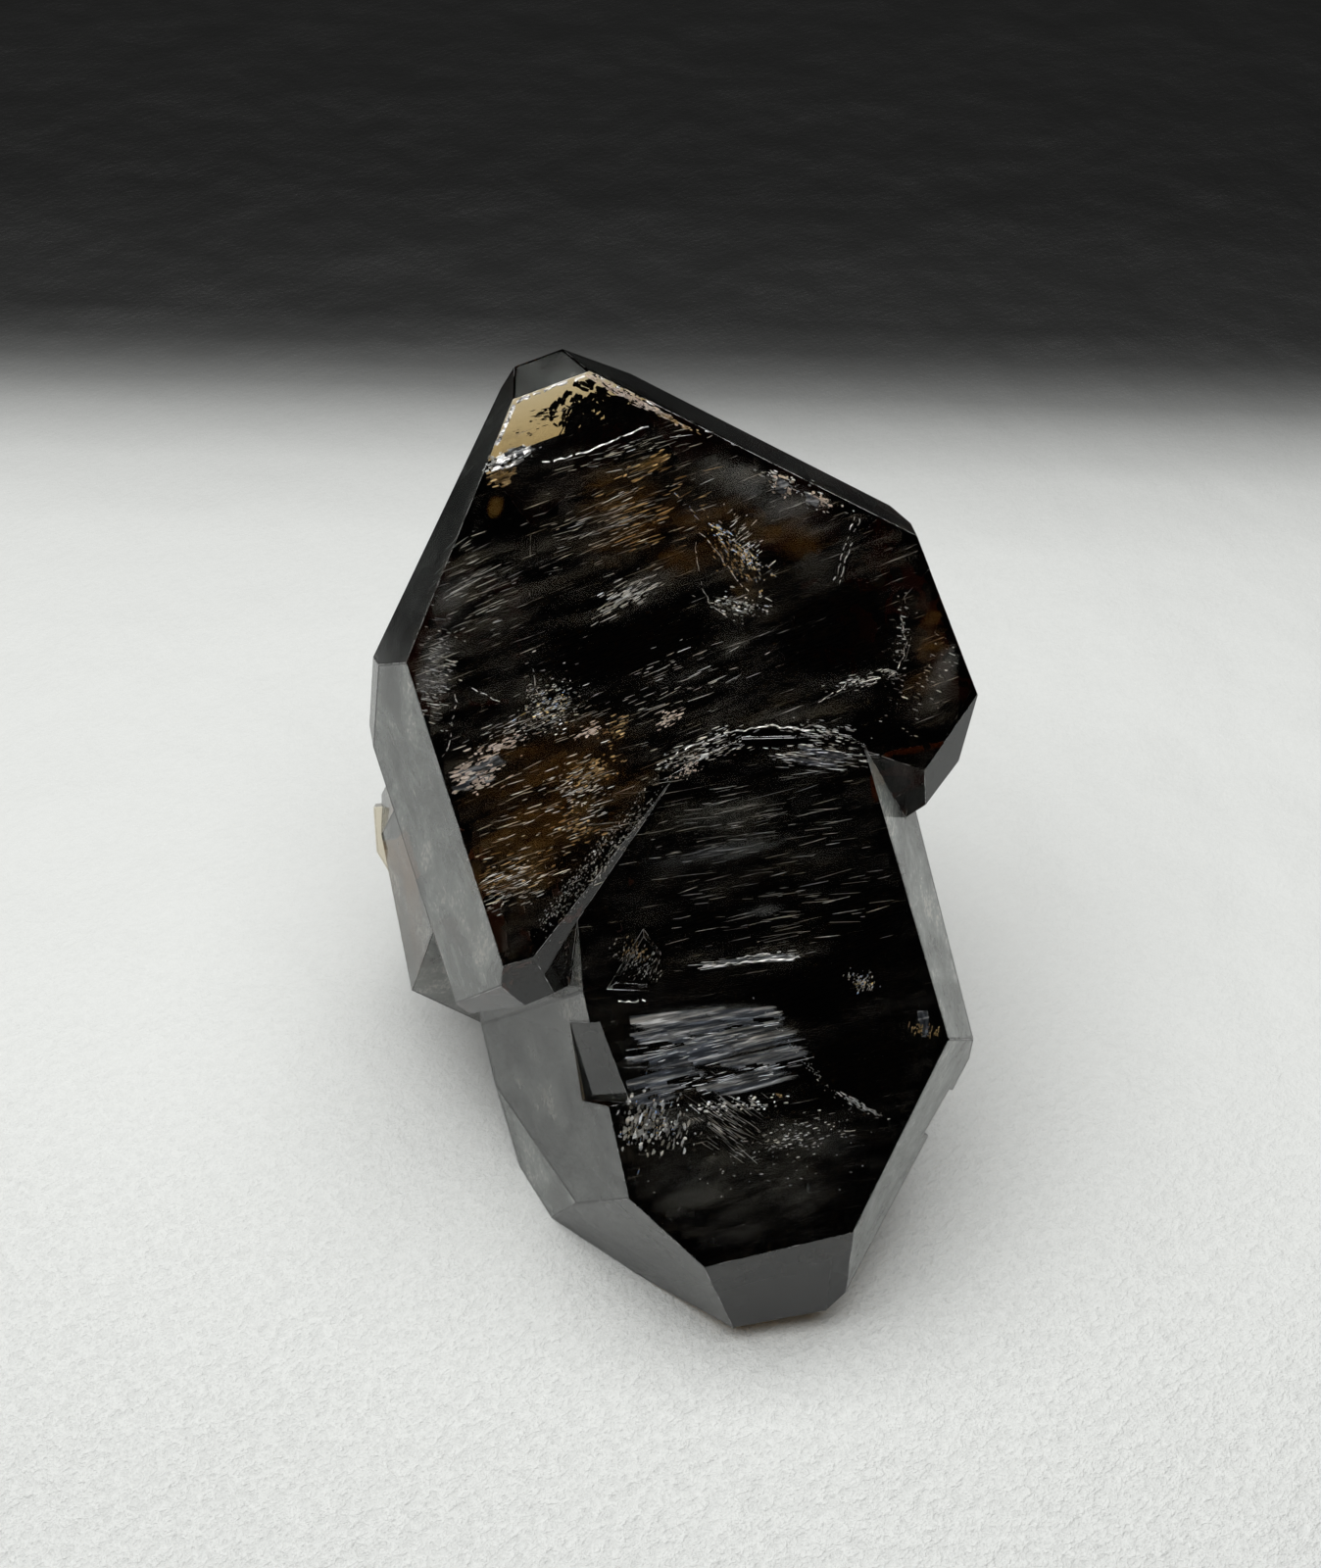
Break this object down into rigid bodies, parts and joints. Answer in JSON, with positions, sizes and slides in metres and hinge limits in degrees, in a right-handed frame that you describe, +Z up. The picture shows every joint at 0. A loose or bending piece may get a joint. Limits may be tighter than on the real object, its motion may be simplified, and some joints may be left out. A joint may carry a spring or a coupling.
{
  "type": "herkimer diamond",
  "caption": "Group of smoky doubly terminated quartz crystals grown into one another, leaning back so their broad front faces look up and forward.",
  "frame": {"origin": "middle of the bounding box's bottom, on the surface the crystals rest on", "axes": "+Z up off the resting surface, -Y towards the side that the broad front faces look to, +X to their right seen from there"},
  "size_m": [0.0216, 0.0234, 0.0258],
  "materials": {
    "smoky_quartz": "clear natural quartz with flat shiny faces, smoky and grey-brown inside"
  },
  "bodies": {
    "root": {"herkimer_crystal": "smoky_quartz"}
  },
  "joints": []
}
